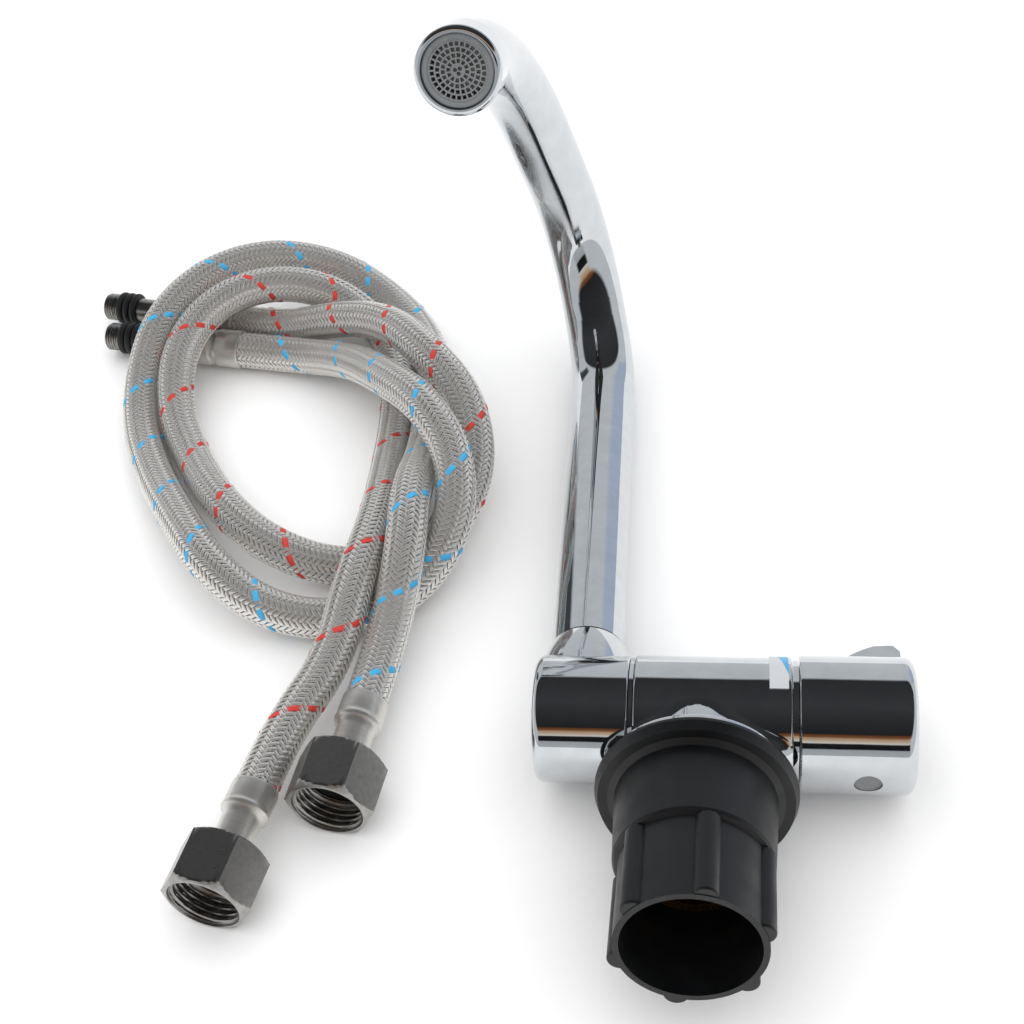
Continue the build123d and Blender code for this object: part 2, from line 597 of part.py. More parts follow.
def tail_end():
    """Ferrule and screwed tail with three sealing rings, with Z out of the hose's end."""
    ferrule = turned([(0, 0), (ferrule_radius - 0.4, 0), (ferrule_radius, 0.5),
                      (ferrule_radius, tail_ferrule_length * 0.42),
                      (ferrule_radius - 0.5, tail_ferrule_length * 0.46),
                      (ferrule_radius - 0.5, tail_ferrule_length * 0.54),
                      (ferrule_radius, tail_ferrule_length * 0.58),
                      (ferrule_radius, tail_ferrule_length - 0.8),
                      (ferrule_radius - 0.8, tail_ferrule_length), (0, tail_ferrule_length)])
    ferrule -= upright(water_bore, tail_ferrule_length - 6, tail_ferrule_length + 1)
    z = tail_ferrule_length
    shaft = z + tail_length
    tail = upright(tail_shank_radius, z, shaft - tail_thread_length)
    tail += upright(tail_thread_radius, shaft - tail_thread_length - 0.1, shaft)
    tail = chamfer(tail.edges().filter_by(GeomType.CIRCLE).group_by(Axis.Z)[-1], 0.6)
    rings = []
    for i in range(ring_count):
        place = shaft - tail_thread_length - first_ring - i * ring_pitch
        seat = tail_shank_radius - ring_groove
        groove = upright(tail_thread_radius + 2, place - ring_section, place + ring_section)
        groove -= upright(seat, place - 2, place + 2)
        tail -= groove
        rings.append(Pos(0, 0, place) * Torus(seat + ring_section, ring_section))
    tail -= upright(water_bore - 0.4, z - 1, shaft + 1)
    return ferrule, tail, rings


pieces = {name: table * piece for name, piece in tap.items()}
rings = []
for colour, route in (("blue", blue_route), ("red", red_route)):
    points = [Vector(x + shift.position.X, y + shift.position.Y, z) for x, y, z in route]
    first, second = points[0], points[1]
    last, before = points[-1], points[-2]
    pieces[colour + "_hose"], centre_line = hose(points, colour)
    far = facing(last, last - before)
    near = facing(first, first - second)
    ferrule, nipple, washer, nut = union_end()
    pieces[colour + "_union_ferrule"] = far * ferrule
    pieces[colour + "_nipple"] = far * nipple
    pieces[colour + "_washer"] = far * washer
    pieces[colour + "_union_nut"] = far * nut
    ferrule, tail, seals = tail_end()
    pieces[colour + "_tail_ferrule"] = near * ferrule
    pieces[colour + "_tail"] = near * tail
    rings += [near * ring for ring in seals]
pieces["tail_o_rings"] = Compound(rings)

os.makedirs("parts", exist_ok=True)
for name, piece in pieces.items():
    piece.label = name
    export_step(piece, "parts/" + name + ".step")
print(len(pieces), "pieces")
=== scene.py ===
# %% [markdown]
# # A caravan tap and its two braided hoses
# The tap of a caravan sink folds flat under a glass lid. It lies here on a pale table as it
# comes out of its bag, with its fixing nut towards us and its two connection hoses beside it.
# The exact shapes of the tap were drawn as solids and are loaded as a fixed frame. This lesson
# gives them their finishes, and makes the parts that solids show badly: braid, threads and
# crimped sleeves.

# %% Load the fixed frame
import json
import math

import bmesh
import bpy
import numpy as np
from mathutils import Matrix, Vector


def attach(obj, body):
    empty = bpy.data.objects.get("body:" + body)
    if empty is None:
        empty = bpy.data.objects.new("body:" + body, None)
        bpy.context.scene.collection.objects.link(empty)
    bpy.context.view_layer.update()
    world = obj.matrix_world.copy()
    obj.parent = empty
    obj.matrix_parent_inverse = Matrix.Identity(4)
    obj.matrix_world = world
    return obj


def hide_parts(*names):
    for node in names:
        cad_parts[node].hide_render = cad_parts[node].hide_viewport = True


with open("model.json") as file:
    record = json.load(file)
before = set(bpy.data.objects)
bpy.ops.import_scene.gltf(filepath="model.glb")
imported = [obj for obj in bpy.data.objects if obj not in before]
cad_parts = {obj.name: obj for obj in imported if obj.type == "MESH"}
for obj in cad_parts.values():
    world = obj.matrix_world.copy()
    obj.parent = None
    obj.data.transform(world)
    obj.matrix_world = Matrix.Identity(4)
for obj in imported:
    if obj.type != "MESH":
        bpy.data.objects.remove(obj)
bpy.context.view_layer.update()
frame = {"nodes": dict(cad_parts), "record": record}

# %% [markdown]
# ## The camera
# A product photograph of this kind is taken from a stand, looking down at the table. The place
# and direction of the camera were worked out from the round edges that lie on one axis: base,
# nut, barrel and knob. A camera can be aimed by a tracking constraint or by its own matrix. Its
# matrix is used here, because three measured directions give it without any rounding.

# %% Camera
PICTURE = 1024                  # the picture is square, this many pixels wide
FOCAL_PIXELS = 1700
camera_place = Vector((0.0227637, -0.3416817, 0.3913914))
picture_right = Vector((0.990643522, 0.0993463162, -0.0935720115))
picture_down = Vector((0.00578950453, -0.715609631, -0.698476440))
view_direction = Vector((-0.136352094, 0.691399425, -0.709489211))

camera_data = bpy.data.cameras.new("studio_camera")
camera_data.sensor_width = 36.0
camera_data.lens = FOCAL_PIXELS / PICTURE * camera_data.sensor_width
camera_data.clip_start = 0.01
camera = bpy.data.objects.new("studio_camera", camera_data)
axes = Matrix((picture_right, -picture_down, -view_direction)).transposed()
camera.matrix_world = Matrix.Translation(camera_place) @ axes.to_4x4()
bpy.context.scene.collection.objects.link(camera)
bpy.context.scene.camera = camera
print("lens", round(camera_data.lens, 2), "mm, height", round(camera_place.z, 3), "m")

# %% [markdown]
# ## Helpers for every finish
# Colours are written as the hex values that a paint chart or a screen shows. Blender works in
# linear light, so one function turns them. A node network could be clicked together or made by
# one function per kind of node. One small function that adds any node, gives it its settings
# and links it keeps every finish below short enough to read, and another feeds the shader.

# %% Colour and node helpers
def linear(hex_value):
    """An sRGB hex colour as linear red, green, blue and alpha."""
    parts = [int(hex_value[i:i + 2], 16) / 255 for i in (1, 3, 5)]
    return [p / 12.92 if p <= 0.04045 else ((p + 0.055) / 1.055) ** 2.4 for p in parts] + [1.0]


def add(tree, kind, inputs=None, stops=None, **settings):
    """Adds one node. inputs maps a socket to a value or to the output that feeds it."""
    node = tree.nodes.new(kind)
    for name, value in settings.items():
        setattr(node, name, value)
    for socket, value in (inputs or {}).items():
        if isinstance(value, bpy.types.NodeSocket):
            tree.links.new(value, node.inputs[socket])
        else:
            node.inputs[socket].default_value = value
    if stops:
        ramp = node.color_ramp.elements
        while len(ramp) < len(stops):
            ramp.new(0.5)
        for element, (place, colour) in zip(ramp, stops):
            element.position = place
            element.color = linear(colour) if isinstance(colour, str) else [colour] * 3 + [1.0]
    return node


def finish(name, **surface):
    """A new material with its node tree and its surface shader, set as given."""
    material = bpy.data.materials.new(name)
    material.use_nodes = True
    shader = material.node_tree.nodes["Principled BSDF"]
    for socket, value in surface.items():
        shader.inputs[socket.replace("_", " ")].default_value = value
    return material, material.node_tree, shader


def feed(tree, shader, colour, roughness=None, bump=None):
    """Links a shader to the node of its colour, and to those of its roughness and bump."""
    for socket, node in (("Base Color", colour), ("Roughness", roughness), ("Normal", bump)):
        if node is not None:
            tree.links.new(node.outputs[0], shader.inputs[socket])


def per_metre(size_mm):
    """The scale that gives a noise texture grains of this size."""
    return 1000.0 / size_mm


print("mid grey is", round(linear("#808080")[0], 3), "in linear light")

# %% [markdown]
# ## Table, room and light
# Chrome has no colour of its own: it shows the room. On the real tap the lying cylinders show a
# white table below, then a thin cream and a brown band from the front of the room, a wide dark
# band from the ceiling, and a bright wall behind. Cards could be hung round the object, but the
# sky shader gives the same bands from every side with nothing in the way of the camera. The
# soft light itself comes from one very wide lamp overhead, which the chrome doesn't mirror.

# %% Table
TABLE_HALF = 60.0               # metres to each side, so its edge stays far off in every view
table_sheet = bpy.data.meshes.new("table")
table_corners = [(x * TABLE_HALF, y * TABLE_HALF, 0.0)
                 for x, y in ((-1, -1), (1, -1), (1, 1), (-1, 1))]
table_sheet.from_pydata(table_corners, [], [(0, 1, 2, 3)])
table_top = bpy.data.objects.new("table", table_sheet)
bpy.context.scene.collection.objects.link(table_top)
# painted board: sprayed white, so it is plain and scatters light evenly
painted_board, tree, shader = finish("white_painted_board", Roughness=0.75, Specular_IOR_Level=0.2)
shader.inputs["Base Color"].default_value = linear("#f4f4f4")
table_sheet.materials.append(painted_board)
print("table is", table_top.dimensions.x, "m wide")

# %% Directions in the room
room = bpy.data.worlds.new("studio_room")
room.use_nodes = True
bpy.context.scene.world = room
tree = room.node_tree
background = tree.nodes["Background"]
direction = add(tree, "ShaderNodeSeparateXYZ",
                {0: add(tree, "ShaderNodeTexCoord").outputs["Generated"]})
towards_us = add(tree, "ShaderNodeMath", {0: direction.outputs["Y"], 1: -1.0},
                 operation="MULTIPLY")
turn = add(tree, "ShaderNodeMath", {0: direction.outputs["Z"], 1: towards_us.outputs[0]},
           operation="ARCTAN2")
share = add(tree, "ShaderNodeMath", {0: turn.outputs[0], 1: math.pi}, operation="DIVIDE")
compass = add(tree, "ShaderNodeMath", {0: direction.outputs["X"], 1: direction.outputs["Y"]},
              operation="ARCTAN2")
bearing = add(tree, "ShaderNodeMapRange", {"Value": compass.outputs[0], "From Min": -math.pi,
                                           "From Max": math.pi})
print("the room is painted by two angles: up from the front, and round from the back")

# %% Bands from front to back
DARK_FROM, DARK_MIDDLE, DARK_TO = 36, 84, 132      # the ceiling, in degrees from the front horizon
band_rows = [                   # degrees up from the front horizon, and the colour there
    (0, "#c4c7ca"), (11, "#b4b7ba"), (12, "#1b1b1d"), (21, "#232324"), (22, "#efe9e2"),
    (25, "#d9c4ae"), (30, "#c29f7e"), (32, "#8a5b3c"), (DARK_FROM, "#6b412a"),
    (DARK_FROM + 1, "#2a2a2b"), (DARK_MIDDLE, "#424244"), (DARK_TO, "#373739"),
    (DARK_TO + 4, "#d4d7da"), (180, "#dcdee0")]
bands = add(tree, "ShaderNodeValToRGB", {0: share.outputs[0]},
            stops=[(degrees / 180, colour) for degrees, colour in band_rows])
SIDE_WALL, SIDE_BLEND = 0.45, 0.05      # at the sides the bands start this high, as a sine
MIDDLE_FROM, MIDDLE_TO = 0.3, 0.42      # within this sideways reach they go down to the floor
above = add(tree, "ShaderNodeMapRange", {"Value": direction.outputs["Z"],
                                         "From Min": SIDE_WALL - SIDE_BLEND,
                                         "From Max": SIDE_WALL + SIDE_BLEND})
inside = add(tree, "ShaderNodeMath", {0: direction.outputs["X"]}, operation="ABSOLUTE")
middle = add(tree, "ShaderNodeMapRange", {"Value": inside.outputs[0], "From Min": MIDDLE_FROM,
                                          "From Max": MIDDLE_TO, "To Min": 1.0, "To Max": 0.0})
reach = add(tree, "ShaderNodeMath", {0: above.outputs[0], 1: middle.outputs[0]},
            operation="MAXIMUM")
print("dark ceiling from", DARK_FROM, "to", DARK_TO, "degrees")

# %% Walls at the sides
side_rows = [                   # degrees from straight back, to the left or to the right
    (-180, "#d6d8da"), (-52, "#d3d5d8"), (-50, "#4b4e52"), (-42, "#45484b"), (-40, "#d6d8db"),
    (-11, "#dadcde"), (-9, "#7d8287"), (-6.5, "#7d8287"), (-5, "#c6cfe0"), (47, "#bcc7dc"),
    (49, "#dcdee0"), (180, "#d6d8da")]
sides = add(tree, "ShaderNodeValToRGB", {0: bearing.outputs[0]},
            stops=[(degrees / 360 + 0.5, colour) for degrees, colour in side_rows])
# the colour sockets of a mix node are 6 and 7 going in, and 2 coming out
walls = add(tree, "ShaderNodeMix", {0: reach.outputs[0], 6: sides.outputs[0],
                                    7: bands.outputs[0]}, data_type="RGBA")
tree.links.new(walls.outputs[2], background.inputs["Color"])
background.inputs["Strength"].default_value = 1.0
print("side walls have", len(side_rows), "colours")

# %% Lamp
LAMP_WIDE = 115                 # degrees, like the top of a light tent: the table is evenly white
LAMP_STRENGTH = 3.5
lamp_data = bpy.data.lights.new("overhead_softbox", "SUN")
lamp_data.angle = math.radians(LAMP_WIDE)
lamp_data.energy = LAMP_STRENGTH
lamp = bpy.data.objects.new("overhead_softbox", lamp_data)
lamp.visible_glossy = False
lamp.visible_camera = False
bpy.context.scene.collection.objects.link(lamp)
bpy.context.scene.view_settings.view_transform = "Standard"
print("lamp", LAMP_WIDE, "degrees wide,", LAMP_STRENGTH, "W per square metre")

# %% [markdown]
# ## Finishes of the metal parts
# Three metal finishes are in sight. The tap is polished and chrome plated brass, so it mirrors
# the room almost perfectly and only its very slight waves tell that it was buffed on a wheel.
# The union nuts and tails are nickel plated: warmer, and cloudy from tumbling in a barrel. The
# sleeves that are pressed on the hoses are drawn stainless steel with fine lines round them. A
# painted picture could give these marks, but noise worked out from real sizes stays sharp at
# any zoom.

# %% Chrome plate
# chrome plate over buffed brass: long soft waves, and faint smears from wiping
chrome_plate, tree, shader = finish("chrome_plate_polished", Metallic=1.0)
BUFFING_WAVE_MM = 14.0
SMEAR_MM = 5.0
place = add(tree, "ShaderNodeTexCoord").outputs["Object"]
waves = add(tree, "ShaderNodeTexNoise", {"Vector": place, "Scale": per_metre(BUFFING_WAVE_MM),
                                         "Detail": 1.0})
smear = add(tree, "ShaderNodeTexNoise", {"Vector": place, "Scale": per_metre(SMEAR_MM),
                                         "Detail": 4.0})
tone = add(tree, "ShaderNodeValToRGB", {0: smear.outputs[0]},
           stops=[(0.3, "#c6c9cc"), (0.7, "#ced1d3")])
gloss = add(tree, "ShaderNodeMapRange", {"Value": smear.outputs[0], "From Min": 0.3,
                                         "From Max": 0.7, "To Min": 0.03, "To Max": 0.06})
ripple = add(tree, "ShaderNodeBump", {"Height": waves.outputs[0], "Strength": 0.12,
                                      "Distance": 0.0004})
feed(tree, shader, tone, gloss, ripple)
print("chrome waves every", BUFFING_WAVE_MM, "mm")

# %% Nickel plate
# nickel plate, barrel tumbled after machining: a warm grey with cloudy spots and tiny knocks
nickel_plate, tree, shader = finish("nickel_plate_tumbled", Metallic=1.0)
CLOUD_MM, KNOCK_MM = 1.6, 0.5
place = add(tree, "ShaderNodeTexCoord").outputs["Object"]
cloud = add(tree, "ShaderNodeTexNoise", {"Vector": place, "Scale": per_metre(CLOUD_MM),
                                         "Detail": 4.0, "Roughness": 0.6})
knocks = add(tree, "ShaderNodeTexNoise", {"Vector": place, "Scale": per_metre(KNOCK_MM),
                                          "Detail": 3.0})
tone = add(tree, "ShaderNodeValToRGB", {0: cloud.outputs[0]},
           stops=[(0.35, "#9b9996"), (0.5, "#a4a29f"), (0.68, "#acaba8")])
gloss = add(tree, "ShaderNodeMapRange", {"Value": cloud.outputs[0], "From Min": 0.35,
                                         "From Max": 0.7, "To Min": 0.34, "To Max": 0.27})
ripple = add(tree, "ShaderNodeBump", {"Height": knocks.outputs[0], "Strength": 0.08,
                                      "Distance": 0.00003})
feed(tree, shader, tone, gloss, ripple)
print("nickel clouds are", CLOUD_MM, "mm across")

# %% Satin stainless steel
# stainless tube drawn and pressed: fine lines that run round the sleeve, from the die
satin_steel, tree, shader = finish("stainless_steel_drawn", Metallic=0.9)
LINE_MM = 0.35                  # real lines are about 0.05 mm, drawn coarser so that they show
                                # the sleeves' UV map counts in mm, so this is their scale too
LINE_STRETCH = 0.02             # they run on for fifty times that, round the sleeve
uv = add(tree, "ShaderNodeTexCoord").outputs["UV"]
stretched = add(tree, "ShaderNodeVectorMath", {0: uv, 1: (LINE_STRETCH, 1.0, 1.0)},
                operation="MULTIPLY")
die_lines = add(tree, "ShaderNodeTexNoise", {"Vector": stretched.outputs[0],
                                             "Scale": 1.0 / LINE_MM, "Detail": 2.0})
tone = add(tree, "ShaderNodeValToRGB", {0: die_lines.outputs[0]},
           stops=[(0.3, "#d3d0ca"), (0.7, "#e2e0dc")])
gloss = add(tree, "ShaderNodeMapRange", {"Value": die_lines.outputs[0], "From Min": 0.3,
                                         "From Max": 0.7, "To Min": 0.44, "To Max": 0.36})
ripple = add(tree, "ShaderNodeBump", {"Height": die_lines.outputs[0], "Strength": 0.06,
                                      "Distance": 0.00003})
feed(tree, shader, tone, gloss, ripple)
print("drawn lines every", LINE_MM, "mm")

# %% Plain steel and brass
# small screws of turned stainless steel, and brass left as it came from the lathe
turned_metals = {}
for name, dark, light, grain_mm in (("stainless_steel_turned", "#9b9994", "#bdbbb6", 0.4),
                                    ("brass_turned", "#8a6a3c", "#b08a52", 0.6)):
    metal, tree, shader = finish(name, Metallic=1.0)
    place = add(tree, "ShaderNodeTexCoord").outputs["Object"]
    grain = add(tree, "ShaderNodeTexNoise", {"Vector": place, "Scale": per_metre(grain_mm),
                                             "Detail": 3.0})
    tone = add(tree, "ShaderNodeValToRGB", {0: grain.outputs[0]},
               stops=[(0.3, dark), (0.7, light)])
    gloss = add(tree, "ShaderNodeMapRange", {"Value": grain.outputs[0], "To Min": 0.2,
                                             "To Max": 0.4})
    feed(tree, shader, tone, gloss)
    turned_metals[name] = metal
print("turned metals:", sorted(turned_metals))

# %% [markdown]
# ## Finishes of the plastic, rubber and ceramic parts
# The fixing nut is moulded nylon with glass fibre: nearly black, dull, with a skin that catches
# a weak sheen. The aerator and the knob's plug are moulded acetal. The seals are rubber, matt
# and a little dusty. Each could have a network of its own. One loop makes them all, because they
# differ only in colour, grain size and gloss: each row of the list holds one real material.

# %% Moulded and rubber finishes
# name, dark tone, light tone, grain in mm, roughness low and high, bump strength
soft_rows = [
    ("glass_filled_nylon_moulded", "#0a0b0c", "#121315", 0.9, 0.4, 0.54, 0.22),
    ("grey_acetal_moulded", "#6d7072", "#818486", 1.4, 0.32, 0.42, 0.08),
    ("white_acetal_moulded", "#dcdbd6", "#e6e5e1", 1.4, 0.3, 0.4, 0.06),
    ("alumina_ceramic_lapped", "#e2e0da", "#eceae4", 0.8, 0.12, 0.2, 0.03),
    ("nitrile_rubber_moulded", "#131314", "#1f2021", 0.7, 0.5, 0.68, 0.2)]
FLOW = 9                        # the melt's broad marks are this many grains across
PITS = 0.4                      # and the skin's fine pits less than one grain
mouldings = {}
for name, dark, light, grain_mm, low, high, strength in soft_rows:
    moulding, tree, shader = finish(name)
    place = add(tree, "ShaderNodeTexCoord").outputs["Object"]
    broad = add(tree, "ShaderNodeTexNoise", {"Vector": place, "Detail": 2.0,
                                             "Scale": per_metre(grain_mm * FLOW)})
    grain = add(tree, "ShaderNodeTexNoise", {"Vector": place, "Detail": 3.0,
                                             "Scale": per_metre(grain_mm * PITS)})
    both = add(tree, "ShaderNodeMix", {0: 0.4, 2: broad.outputs[0], 3: grain.outputs[0]})
    tone = add(tree, "ShaderNodeValToRGB", {0: both.outputs[0]},
               stops=[(0.35, dark), (0.65, light)])
    gloss = add(tree, "ShaderNodeMapRange", {"Value": broad.outputs[0], "From Min": 0.3,
                                             "From Max": 0.7, "To Min": low, "To Max": high})
    skin = add(tree, "ShaderNodeBump", {"Height": grain.outputs[0], "Strength": strength,
                                        "Distance": 0.0001})
    feed(tree, shader, tone, gloss, skin)
    mouldings[name] = moulding
print("mouldings:", len(mouldings))

# %% [markdown]
# ## The hot and cold mark
# A thin printed film is wrapped round the body next to the knob. It is pale grey and carries a
# blue wedge at the end that means cold. It could be cut from coloured pieces, but ink has no
# thickness, so the colour changes in the finish, along a slanting line across the film.

# %% Printed film
MARK_AXIS = (0.010541, -0.0597606, 0.0213627)      # a point on the body's axis, in metres
MARK_LEFT, MARK_RIGHT = 0.0186, 0.0236             # metres along the axis from there
MARK_TOP, MARK_FOOT = 0.8, 1.75                    # radians round the axis, from the back
WEDGE_FROM, WEDGE_SLANT = 0.4, 0.9                 # the blue starts this far across, and narrows
INK_EDGE = 0.02                                    # the soft edge of the print
film, tree, shader = finish("polyester_film_printed", Roughness=0.3)
place = add(tree, "ShaderNodeTexCoord").outputs["Object"]
from_axis = add(tree, "ShaderNodeVectorMath", {0: place, 1: MARK_AXIS}, operation="SUBTRACT")
split = add(tree, "ShaderNodeSeparateXYZ", {0: from_axis.outputs[0]})
round_axis = add(tree, "ShaderNodeMath", {0: split.outputs["Z"], 1: split.outputs["Y"]},
                 operation="ARCTAN2")
fall = add(tree, "ShaderNodeMapRange", {"Value": round_axis.outputs[0], "From Min": MARK_TOP,
                                        "From Max": MARK_FOOT})
width = add(tree, "ShaderNodeMapRange", {"Value": split.outputs["X"], "From Min": MARK_LEFT,
                                         "From Max": MARK_RIGHT})
slant = add(tree, "ShaderNodeMath", {0: fall.outputs[0], 1: WEDGE_SLANT, 2: WEDGE_FROM},
            operation="MULTIPLY_ADD")
beyond = add(tree, "ShaderNodeMath", {0: width.outputs[0], 1: slant.outputs[0]},
             operation="SUBTRACT")
blue_part = add(tree, "ShaderNodeMapRange", {"Value": beyond.outputs[0], "From Min": -INK_EDGE,
                                             "From Max": INK_EDGE})
ink = add(tree, "ShaderNodeValToRGB", {0: blue_part.outputs[0]},
          stops=[(0.0, "#b9bcbf"), (1.0, "#3a98c6")])
feed(tree, shader, ink)
print("film wraps the axis at", MARK_AXIS)

# %% [markdown]
# ## Dressing the solids
# Most solids have the right shape already, so they only get their finish. Each could be dressed
# by its own name, but every solid knows the slot that its finish belongs to, so one table that
# says which finish fills which slot reaches them all.

# %% Finishes on the solids
slot_finish = {
    "chrome": chrome_plate, "brass": turned_metals["brass_turned"], "nickel_brass": nickel_plate,
    "stainless_steel": turned_metals["stainless_steel_turned"],
    "braided_hose": mouldings["nitrile_rubber_moulded"],
    "black_plastic": mouldings["glass_filled_nylon_moulded"],
    "grey_plastic": mouldings["grey_acetal_moulded"],
    "white_plastic": mouldings["white_acetal_moulded"],
    "ceramic_disc": mouldings["alumina_ceramic_lapped"],
    "black_rubber": mouldings["nitrile_rubber_moulded"], "printed_film": film}
for part in frame["record"]["subparts"]:
    solid = frame["nodes"][part["node"]]
    surface = slot_finish[part["material_slot"]]
    solid.data.materials.clear()
    solid.data.materials.append(surface)
print("dressed", len(frame["nodes"]), "solids")

# %% [markdown]
# ## The hoses' lines
# Each hose is a rubber tube under a braid of steel wire, pushed on its fittings at both ends.
# The two were wound together by hand into one loose ring. Such a line could be drawn point by
# point, but a hose has no kinks, so each is a NURBS curve that its control points pull into
# place. The same curve with a round bevel gives the rubber.

# %% Routes of the two hoses
# control points in metres, from the tail's end of each hose to the nut's end
BLUE_ROUTE = [
    (-0.1567, 0.1134, 0.0072), (-0.1343, 0.1098, 0.0072), (-0.1131, 0.0973, 0.0162),
    (-0.0951, 0.0733, 0.0290), (-0.0783, 0.0535, 0.0352), (-0.0663, 0.0341, 0.0296),
    (-0.0661, 0.0139, 0.0180), (-0.0787, -0.0031, 0.0078), (-0.0999, -0.0135, 0.0058),
    (-0.1231, -0.0123, 0.0098), (-0.1421, 0.0007, 0.0158), (-0.1567, 0.0217, 0.0134),
    (-0.1723, 0.0463, 0.0080), (-0.1845, 0.0719, 0.0060), (-0.1887, 0.0949, 0.0112),
    (-0.1853, 0.1169, 0.0198), (-0.1721, 0.1381, 0.0230), (-0.1511, 0.1505, 0.0218),
    (-0.1271, 0.1523, 0.0150), (-0.1071, 0.1421, 0.0072), (-0.0919, 0.1227, 0.0062),
    (-0.0837, 0.0995, 0.0072), (-0.0815, 0.0741, 0.0124), (-0.0799, 0.0491, 0.0168),
    (-0.0799, 0.0227, 0.0272), (-0.0781, -0.0001, 0.0258), (-0.0817, -0.0229, 0.0116),
    (-0.0849, -0.0480, 0.0116)]
RED_ROUTE = [
    (-0.1621, 0.1292, 0.0072), (-0.1415, 0.1252, 0.0072), (-0.1207, 0.1163, 0.0190),
    (-0.0991, 0.1039, 0.0280), (-0.0823, 0.0833, 0.0316), (-0.0675, 0.0655, 0.0274),
    (-0.0619, 0.0451, 0.0178), (-0.0677, 0.0261, 0.0092), (-0.0835, 0.0119, 0.0058),
    (-0.1053, 0.0067, 0.0078), (-0.1271, 0.0129, 0.0126), (-0.1445, 0.0287, 0.0136),
    (-0.1601, 0.0533, 0.0078), (-0.1727, 0.0769, 0.0098), (-0.1757, 0.0989, 0.0172),
    (-0.1677, 0.1185, 0.0226), (-0.1505, 0.1319, 0.0232), (-0.1295, 0.1351, 0.0184),
    (-0.1113, 0.1263, 0.0112), (-0.0997, 0.1077, 0.0062), (-0.0949, 0.0821, 0.0068),
    (-0.0931, 0.0593, 0.0092), (-0.0915, 0.0359, 0.0142), (-0.0903, 0.0115, 0.0208),
    (-0.0933, -0.0109, 0.0210), (-0.0967, -0.0347, 0.0130), (-0.1073, -0.0587, 0.0115),
    (-0.1109, -0.0789, 0.0115)]
print("control points:", len(BLUE_ROUTE), "and", len(RED_ROUTE))

# %% Smooth lines
RUBBER_RADIUS = 0.0058          # the rubber under the braid
BRAID_RADIUS = 0.00605          # the middle of the wire layer
CURVE_STEPS, LINE_STEPS = 12, 24        # per control point: for the tube, and to read the line


def hose_curve(name, route, radius):
    """A smooth curve along the route, round and solid if it has a radius."""
    curve = bpy.data.curves.new(name, "CURVE")
    curve.dimensions = "3D"
    line = curve.splines.new("NURBS")
    line.points.add(len(route) - 1)
    for point, place in zip(line.points, route):
        point.co = (*place, 1.0)
    line.order_u = 3
    line.use_endpoint_u = True
    line.resolution_u = CURVE_STEPS
    curve.bevel_depth = radius
    curve.bevel_resolution = 6
    curve.use_fill_caps = radius > 0
    thing = bpy.data.objects.new(name, curve)
    bpy.context.scene.collection.objects.link(thing)
    return thing


def line_points(route):
    """The places along the smooth line, read from a curve that has no thickness."""
    bare = hose_curve("bare_line", route, 0.0)
    bare.data.splines[0].resolution_u = LINE_STEPS
    bpy.context.view_layer.update()
    seen = bare.evaluated_get(bpy.context.evaluated_depsgraph_get())
    mesh = bpy.data.meshes.new_from_object(seen)
    places = np.empty(len(mesh.vertices) * 3)
    mesh.vertices.foreach_get("co", places)
    bpy.data.objects.remove(bare)
    bpy.data.meshes.remove(mesh)
    return places.reshape(-1, 3)


lines = {"blue": line_points(BLUE_ROUTE), "red": line_points(RED_ROUTE)}

# %% [markdown]
# ## A frame that doesn't twist
# The braid has to run along a bent line without winding up. A fixed "up" would flip where the
# hose rises over another, so the crosswise direction is carried from point to point, each time
# turned only as much as the line turns.

# %% Even steps and carried directions
def carried_frame(places, step):
    """Even places along a line, with its direction and two crosswise directions at each."""
    gaps = np.linalg.norm(np.diff(places, axis=0), axis=1)
    run = np.concatenate([[0.0], np.cumsum(gaps)])
    count = int(round(run[-1] / step)) + 1
    even = np.linspace(0.0, run[-1], count)
    line = np.stack([np.interp(even, run, places[:, k]) for k in range(3)], axis=1)
    ahead = np.gradient(line, axis=0)
    ahead /= np.linalg.norm(ahead, axis=1)[:, None]
    side = np.empty_like(ahead)
    side[0] = np.cross(ahead[0], (0.0, 0.0, 1.0))
    side[0] /= np.linalg.norm(side[0])
    for i in range(1, count):
        side[i] = side[i - 1] - ahead[i] * side[i - 1].dot(ahead[i])
        side[i] /= np.linalg.norm(side[i])
    return line, ahead, side, np.cross(ahead, side), even


BRAID_LEAD = 0.0295             # a strand goes once round in this length
STEPS_PER_TURN = 32
carried = {colour: carried_frame(places, BRAID_LEAD / STEPS_PER_TURN)
           for colour, places in lines.items()}
print("steps along the blue hose:", len(carried["blue"][0]))
